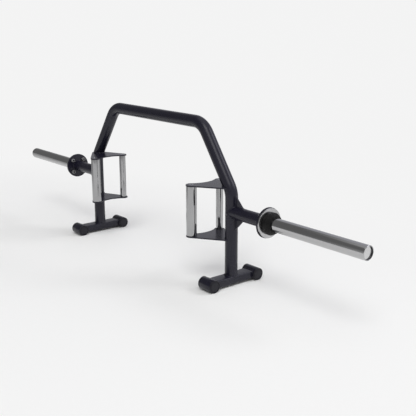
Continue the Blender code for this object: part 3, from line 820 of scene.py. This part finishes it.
def make_foot(label, side, way):
    """Foot tube with a plug in each end; a fine groove parts the plug's disc from its rim."""
    centre = (side * POST_X, way * FOOT_Y, TUBE_RADIUS)
    half = FOOT_LENGTH / 2 - CAP_THICKNESS - FIT_GAP
    shell = [
        (-half, TUBE_BORE), (-half, TUBE_RADIUS), (half, TUBE_RADIUS), (half, TUBE_BORE),
    ]
    turned(
        "foot_" + label, rounded(shell, {1: 0.0004, 2: 0.0004}, 3), centre, "X", 1, COAT,
        "frame", ["foot_tube_" + label], loop=True,
    )
    face = FOOT_LENGTH / 2
    back = face - CAP_THICKNESS
    plug = TUBE_BORE - FIT_GAP
    cap = [
        (face - 0.0003, 0.0),
        (face - 0.0003, 0.0184),
        (face - 0.0018, 0.0190),
        (face - 0.0018, 0.0204),
        (face, 0.0211),
        (face, TUBE_RADIUS),
        (back, TUBE_RADIUS),
        (back, plug),
        (back - CAP_PLUG_LENGTH, plug),
        (back - CAP_PLUG_LENGTH, 0.0),
    ]
    for end, turn in (("outer", side), ("inner", -side)):
        turned(
            f"plug_{label}_{end}", rounded(cap, {1: 0.0005, 4: 0.0005, 5: 0.0015, 6: 0.0003}, 4),
            centre, "X", turn, PLASTIC, "frame", [f"foot_cap_{label}_{end}"],
        )


def make_base(label, side):
    bm = bmesh.new()
    outline = rounded_rectangle(BASE_WIDTH, BASE_HEIGHT, BASE_CORNER, TUBE_RADIUS)
    reach = FOOT_Y - BASE_TUBE_OVERLAP
    rings = []
    for y in np.linspace(-reach, reach, 9):
        rings.append([bm.verts.new((side * POST_X + x, float(y), z)) for x, z in outline])
    capped(bm, rings)
    piece("base_" + label, bm, COAT, "frame", ["base_tube_" + label])


def make_stub(label, side):
    """Stub tube, whose inner end lies hidden in the post, and the round welds of this side."""
    end = FLANGE_PLATE_X - FIT_GAP
    profile = [
        (POST_X + 0.004, TUBE_BORE), (POST_X + 0.004, TUBE_RADIUS - 0.002),
        (POST_X + 0.006, TUBE_RADIUS), (end, TUBE_RADIUS), (end, TUBE_BORE),
    ]
    turned(
        "stub_" + label, profile, (0, 0, SLEEVE_HEIGHT), "X", side, COAT, "frame",
        ["stub_tube_" + label], loop=True,
    )
    bead("weld_stub_post_" + label, saddle(side), closed=True, radius=0.0030)
    middle = (0, 0, SLEEVE_HEIGHT)
    ring = [turned_spot(middle, "X", side, FLANGE_PLATE_X, TUBE_RADIUS, a) for a in around(72)]
    bead("weld_stub_flange_" + label, ring, closed=True, radius=0.0028)
    bead("weld_post_base_" + label, post_foot(side), closed=True, radius=0.0028)
    for end, way in (("front", -1), ("back", 1)):
        bead(f"weld_base_foot_{end}_{label}", base_end(side, way), closed=True, radius=0.0025)


def make_gusset(level, label, side, up):
    """Triangular web, whose square corner lies hidden in the tubes, and its four weld runs."""
    inside = TUBE_RADIUS / 2
    slope = TUBE_RADIUS + GUSSET_LEG + TUBE_RADIUS - inside
    outline = [(POST_X + inside, inside), (POST_X + slope, inside), (POST_X + inside, slope)]
    half = GUSSET_THICKNESS / 2
    bm = bmesh.new()
    capped(bm, [
        [bm.verts.new((side * x, y, SLEEVE_HEIGHT + up * z)) for x, z in outline]
        for y in (-half, half)
    ])
    piece(
        f"web_{level}_{label}", bm, COAT, "frame", [f"gusset_{level}_{label}"],
        sharp=24, bevel=0.0006,
    )
    skin_depth = math.sqrt(TUBE_RADIUS**2 - half**2)
    reaches = [TUBE_RADIUS + t * GUSSET_LEG for t in np.linspace(0.06, 1.02, 24)]
    for face, way in (("front", -1), ("back", 1)):
        stub_top = SLEEVE_HEIGHT + up * skin_depth
        along_stub = [(side * (POST_X + reach), way * half, stub_top) for reach in reaches]
        angle = math.acos(way * half / TUBE_RADIUS)
        along_post = [arch_skin_at(SLEEVE_HEIGHT + up * reach, angle, side) for reach in reaches]
        bead(f"weld_web_stub_{level}_{label}_{face}", along_stub, radius=0.0021)
        bead(f"weld_web_post_{level}_{label}_{face}", along_post, radius=0.0021)


def hexagon_reach(radius, turn):
    """Distance from a hexagon's middle to its edge in a direction."""
    a = (turn + math.pi / 6) % (math.pi / 3) - math.pi / 6
    return radius * math.cos(math.pi / 6) / math.cos(a)


def make_screw(name, profile, centre, axis, side, socket_radius, depth, material, node, sides=48):
    """A turned screw with a hexagon socket; the profile runs from the shank to the socket's rim.

    The socket's depth counts against the axis; its faces get the attribute shade for painted shade.
    """
    bm = bmesh.new()
    rings = revolve(bm, profile, centre, axis, side, sides)
    top = profile[-1][0]
    way = math.copysign(1.0, depth)
    socket = []
    for along, grow in [(top, 1.04), (top - way * 0.0002, 1.0), (top - depth, 1.0)]:
        ring = []
        for k in range(sides):
            a = 2 * math.pi * k / sides
            reach = hexagon_reach(socket_radius, a) * grow
            ring.append(bm.verts.new(turned_spot(centre, axis, side, along, reach, a)))
        socket.append(ring)
    skin(bm, [rings[-1], socket[0], socket[1]])
    outside = len(bm.faces)
    skin(bm, socket[1:])
    tip = turned_spot(centre, axis, side, top - depth - way * 0.0006, 0.0, 0.0)
    skin(bm, [socket[-1], [bm.verts.new(tip)]])
    # the socket's faces are marked so that the screw materials paint shade into them
    shade = bm.faces.layers.float.new("shade")
    for face in list(bm.faces)[outside:]:
        face[shade] = 1.0
    piece(name, bm, material, "frame", [node])


def make_flange(label, side):
    """Black plate with its lip, chromed flange with the spindle, and the four screws."""
    centre = (0, 0, SLEEVE_HEIGHT)
    face = FLANGE_PLATE_X + FLANGE_PLATE_THICKNESS
    lip = face + FLANGE_LIP
    inner = FLANGE_RADIUS - FLANGE_LIP_WIDTH
    disc = [
        (FLANGE_PLATE_X, 0.0), (FLANGE_PLATE_X, FLANGE_RADIUS), (lip, FLANGE_RADIUS),
        (lip, inner), (face, inner), (face, 0.0),
    ]
    turned(
        "flange_" + label, rounded(disc, {1: 0.0008, 2: 0.0005, 3: 0.0002}, 4), centre, "X", side,
        COAT, "frame", ["flange_plate_" + label], sides=144,
    )
    thick = SPINDLE_FLANGE_THICKNESS
    end = SLEEVE_END - END_CAP_RECESS - END_CAP_THICKNESS - SPINDLE_TIP_CLEARANCE
    spindle = [
        (-thick, 0.0),
        (-thick, CHROME_FLANGE_RADIUS - 0.0010),
        (-thick + 0.0010, CHROME_FLANGE_RADIUS),
        (SPINDLE_FACE - 0.0006, CHROME_FLANGE_RADIUS),
        (SPINDLE_FACE, CHROME_FLANGE_RADIUS - 0.0006),
        (SPINDLE_FACE, SPINDLE_RECESS_RADIUS),
        (0.0, SPINDLE_RECESS_RADIUS),
        (0.0, SPINDLE_RADIUS),
        (end, SPINDLE_RADIUS),
        (end, 0.0),
    ]
    turned(
        "spindle_chrome_" + label, rounded(spindle, {2: 0.0004, 3: 0.0003, 4: 0.0003}, 3),
        (side * SLEEVE_X, 0, SLEEVE_HEIGHT), "X", side, CHROME_FACE, "frame",
        ["spindle_" + label], sides=144,
    )
    head = FLANGE_SCREW_HEAD_RADIUS
    seat = FLANGE_PLATE_X - FIT_GAP
    top = seat - FLANGE_SCREW_HEAD_HEIGHT
    profile = [(seat, 0.0), (seat, head)]
    for k in range(9):
        t = math.pi / 2 * k / 8
        along = top + SCREW_ROUNDING * (1 - math.sin(t))
        profile.append((along, head - SCREW_ROUNDING * (1 - math.cos(t))))
    profile.append((top, FLANGE_SOCKET_CHAMFER))
    for i in range(FLANGE_SCREW_COUNT):
        a = math.pi / 4 + 2 * math.pi * i / FLANGE_SCREW_COUNT
        make_screw(
            f"screw_flange_{label}_{i + 1}", profile,
            turned_spot(centre, "X", side, 0.0, FLANGE_SCREW_CIRCLE / 2, a), "X", side,
            FLANGE_SOCKET_RADIUS, -FLANGE_SOCKET_DEPTH, PHOSPHATE, f"flange_screw_{label}_{i + 1}",
        )


def make_grips(label, side):
    """Two chromed grips with a countersunk screw at each end."""
    head = GRIP_SCREW_HEAD_RADIUS
    screw = [
        (-GRIP_SCREW_LENGTH, 0.0), (-GRIP_SCREW_LENGTH, SHANK_RADIUS), (-0.0045, SHANK_RADIUS),
        (-0.0005, head), (-0.0001, head - 0.0001), (0.0, head - 0.0004),
    ]
    bottom = LOWER_PLATE_TOP + FIT_GAP
    top = UPPER_PLATE_UNDERSIDE - FIT_GAP
    for kind, ((x, y), radius) in GRIPS.items():
        shell = [(bottom, GRIP_BORE), (bottom, radius), (top, radius), (top, GRIP_BORE)]
        turned(
            f"grip_{kind}_{label}", rounded(shell, {1: 0.0010, 2: 0.0010}, 4), (side * x, y, 0),
            "Z", 1, CHROME_Z, "frame", [f"{kind}_grip_{label}"], loop=True,
        )
        for level, face, way in (
            ("upper", UPPER_PLATE_UNDERSIDE + PLATE_THICKNESS, 1),
            ("lower", LOWER_PLATE_UNDERSIDE, -1),
        ):
            make_screw(
                f"screw_grip_{kind}_{level}_{label}", screw, (side * x, y, face), "Z", way,
                GRIP_SOCKET_RADIUS, GRIP_SOCKET_DEPTH, ZINC, f"grip_screw_{kind}_{level}_{label}",
            )


def make_sleeve(label, side):
    """Everything that turns: sleeve, ribbed bumper, a dark sheet of painted shade in the open end,
    end cap.
    """
    body = "sleeve_" + label
    centre = (side * SLEEVE_X, 0, SLEEVE_HEIGHT)
    start = SPINDLE_FACE + RUNNING_GAP
    collar_end = start + COLLAR_THICKNESS
    seat = SLEEVE_END - END_CAP_RECESS - END_CAP_THICKNESS
    sleeve = [
        (start, SLEEVE_BORE),
        (start, COLLAR_RADIUS),
        (collar_end, COLLAR_RADIUS),
        (collar_end, SLEEVE_RADIUS),
        (SLEEVE_END - 0.0008, SLEEVE_RADIUS),
        (SLEEVE_END, SLEEVE_RADIUS - 0.0010),
        (SLEEVE_END, SLEEVE_RIM_BORE + 0.0003),
        (SLEEVE_END - 0.0003, SLEEVE_RIM_BORE),
        (seat, SLEEVE_RIM_BORE),
        (seat, SLEEVE_BORE),
    ]
    turned(
        "sleeve_chrome_" + label, rounded(sleeve, {4: 0.0005, 5: 0.0004}, 3), centre, "X", side,
        CHROME_X, body, ["sleeve_tube_" + label], sides=128, loop=True,
    )
    bore = SLEEVE_RADIUS + FIT_GAP
    collar = COLLAR_RADIUS + FIT_GAP
    profile = [
        (collar_end + FIT_GAP, bore), (collar_end + FIT_GAP, collar), (start, collar),
        (start, BUMPER_RADIUS), (BUMPER_STRAIGHT, BUMPER_RADIUS),
    ]
    rib = (BUMPER_LENGTH - BUMPER_STRAIGHT) / BUMPER_RIBS
    drop = (BUMPER_RADIUS - BUMPER_NOSE_RADIUS) / BUMPER_RIBS
    radii = {3: 0.0012, 4: 0.0025}
    for i in range(BUMPER_RIBS):
        along = BUMPER_STRAIGHT + rib * i
        crest = BUMPER_RADIUS - drop * i
        radii[len(profile)] = 0.0006
        profile.append((along + rib * 0.3, crest - RIB_DEPTH - drop * 0.3))
        radii[len(profile)] = 0.0008
        profile.append((along + rib, crest - drop))
    profile.append((BUMPER_LENGTH, bore))
    turned(
        "bumper_" + label, rounded(profile, radii, 4), centre, "X", side, RUBBER,
        body, ["bumper_ring_" + label], sides=128, loop=True,
    )
    radius = SLEEVE_RIM_BORE - FIT_GAP
    face = SLEEVE_END - END_CAP_RECESS
    low, high = face + FIT_GAP, SLEEVE_END - 0.0006
    # a thin dark sheet over the open end's wall: painted shade in the recess
    wall, skin_radius = SLEEVE_RIM_BORE, SLEEVE_RIM_BORE - SHADE_SHEET_THICKNESS
    turned(
        "bore_" + label, [(low, skin_radius), (high, skin_radius), (high, wall), (low, wall)],
        centre, "X", side, RECESS_SHADE, body, sides=128, loop=True,
    )
    cap = [(seat + FIT_GAP, 0.0), (seat + FIT_GAP, radius), (face, radius), (face, 0.0)]
    turned(
        "cap_chrome_" + label, rounded(cap, {2: 0.0010}), centre, "X", side, CHROME_CAP,
        body, ["end_cap_" + label],
    )


make_arch()
for label, side in SIDES.items():
    make_base(label, side)
    make_foot("front_" + label, side, -1)
    make_foot("back_" + label, side, 1)
    make_stub(label, side)
    make_gusset("upper", label, side, 1)
    make_gusset("lower", label, side, -1)
    make_flange(label, side)
    make_grip_plate("upper_" + label, side, UPPER_PLATE_UNDERSIDE, True)
    make_grip_plate("lower_" + label, side, LOWER_PLATE_UNDERSIDE, False)
    make_grips(label, side)
    make_sleeve(label, side)

for name, node in frame["nodes"].items():
    node.data.materials.clear()
    node.data.materials.append(BRONZE if name.startswith("sleeve_bush") else ZINC)


# Floor, world, lamps and camera

def make_floor():
    """Pale floor that fades into the white background away from the bar."""
    bm = bmesh.new()
    revolve(bm, [(0.0, 0.0), (0.0, 1.0), (0.0, 2.5), (0.0, 9.0)], (0, 0, 0), "Z", 1, 96)
    mesh = bpy.data.meshes.new("floor")
    bm.to_mesh(mesh)
    bm.free()
    floor = bpy.data.objects.new("floor", mesh)
    bpy.context.scene.collection.objects.link(floor)
    made, g = new_material("pale_floor")
    at = g.place()
    grain = g.noise(at, 60.0, 4.0)
    x, y, _ = g.axes()
    g.feed(
        Base_Color=g.mix(grain, grey(0.895, -0.012), grey(0.910, -0.012)),
        Roughness=0.8,
        Normal=g.bump(grain, 0.02, 0.001),
    )
    # the fade is nearer behind the bar, and metal sees the far floor darker on the left
    deep = g.math("MULTIPLY_ADD", g.math("MAXIMUM", y, 0.0), 0.6, y)
    far = g.spread(g.length(g.math("MULTIPLY", x, 0.70), deep), 0.55, 1.9, 0.0, 1.0)
    to_metal = g.spread(g.math("MULTIPLY_ADD", y, -0.3, x), -0.9, 0.1, 0.46, 0.88)
    seen = g.add("ShaderNodeLightPath").outputs["Is Camera Ray"]
    glow = g.add("ShaderNodeEmission", {"Strength": g.blend(seen, to_metal, WHITE)}).outputs[0]
    surface = g.add("ShaderNodeMixShader", {0: far, 1: g.shader.outputs[0], 2: glow}).outputs[0]
    g.link(surface, g.tree.nodes["Material Output"].inputs["Surface"])
    mesh.materials.append(made)


def direction(turn, height):
    """Unit vector from a turn about +Z and a height above the floor, both in degrees."""
    turn, height = math.radians(turn), math.radians(height)
    return (math.cos(height) * math.cos(turn), math.cos(height) * math.sin(turn), math.sin(height))


def make_world():
    """Soft room: dark on the left, paler at the back, right, front and top, white to the camera.

    Only gloss sees the two glows, which stand for the lamps.
    """
    world = bpy.data.worlds.new("studio")
    bpy.context.scene.world = world
    world.use_nodes = True
    g = Graph(world.node_tree)
    background = world.node_tree.nodes["Background"]
    x, y, z = g.axes("Generated")
    back_wall = g.spread(g.math("MULTIPLY_ADD", z, 0.35, y), 0.38, 0.66, 0.0, 1.0)
    room = g.blend(back_wall, 0.18, g.spread(z, 0.25, 0.55, 0.57, 0.50))
    room = g.blend(g.spread(x, 0.05, 0.45, 0.0, 1.0), room, 0.62)
    ahead = g.math("ADD", g.math("MULTIPLY", x, 0.20), g.math("MULTIPLY", y, -0.98))
    room = g.blend(g.spread(ahead, 0.62, 0.92, 0.0, 1.0), room, 0.50)
    room = g.blend(g.spread(z, 0.78, 1.00, 0.0, 1.0), room, 0.92)
    rays = g.add("ShaderNodeLightPath")
    seen, glossy = rays.outputs["Is Camera Ray"], rays.outputs["Is Glossy Ray"]
    view = g.add("ShaderNodeTexCoord").outputs["Generated"]
    for lamp, low, high, glow in ((FRONT_LAMP, 0.925, 0.990, 3.0), (BACK_LAMP, 0.950, 0.995, 2.8)):
        values = {0: view, 1: direction(*lamp)}
        nearness = g.add("ShaderNodeVectorMath", values, operation="DOT_PRODUCT").outputs["Value"]
        bright = g.spread(nearness, low, high, 0.0, glow)
        room = g.math("MULTIPLY_ADD", glossy, bright, room)
    tint = g.mix(back_wall, grey(1.0), (0.98, 0.98, 1.05, 1.0))
    g.link(g.mix(seen, tint, grey(1.0)), background.inputs["Color"])
    g.link(g.blend(seen, room, WHITE), background.inputs["Strength"])


def soft_box(name, angles, size, power):
    """Square lamp far from the bar; metal and gloss show it as the soft glow in the world."""
    lamp = bpy.data.lights.new(name, "AREA")
    lamp.shape = "SQUARE"
    lamp.size = size
    lamp.energy = power
    made = bpy.data.objects.new(name, lamp)
    bpy.context.scene.collection.objects.link(made)
    made.visible_glossy = False
    away = Vector(direction(*angles))
    made.location = Vector(LAMP_AIM) + LAMP_DISTANCE * away
    made.rotation_euler = (-away).to_track_quat("-Z", "Y").to_euler()


def make_camera():
    """The photo's camera, from its place and three angles."""
    camera = bpy.data.cameras.new("camera")
    camera.lens = CAMERA_LENS
    camera.sensor_width = 36.0
    camera.clip_start = 0.05
    camera.clip_end = 60.0
    made = bpy.data.objects.new("camera", camera)
    bpy.context.scene.collection.objects.link(made)
    yaw, pitch, roll = CAMERA_YAW, CAMERA_PITCH, CAMERA_ROLL
    level = math.cos(pitch)
    forward = Vector((math.sin(yaw) * level, math.cos(yaw) * level, -math.sin(pitch)))
    right = Vector((math.cos(yaw), -math.sin(yaw), 0))
    up = right.cross(forward)
    side = math.cos(roll) * right + math.sin(roll) * up
    top = -math.sin(roll) * right + math.cos(roll) * up
    rows = [(side[i], top[i], -forward[i], CAMERA_PLACE[i]) for i in range(3)]
    made.matrix_world = Matrix((*rows, (0, 0, 0, 1)))
    bpy.context.scene.camera = made


make_floor()
make_world()
soft_box("front_box", FRONT_LAMP, 13.0, 480)
soft_box("front_core", FRONT_LAMP, 8.0, 960)
soft_box("back_box", BACK_LAMP, 10.0, 260)
soft_box("back_core", BACK_LAMP, 5.0, 555)
make_camera()
bpy.context.scene.view_settings.view_transform = "Standard"
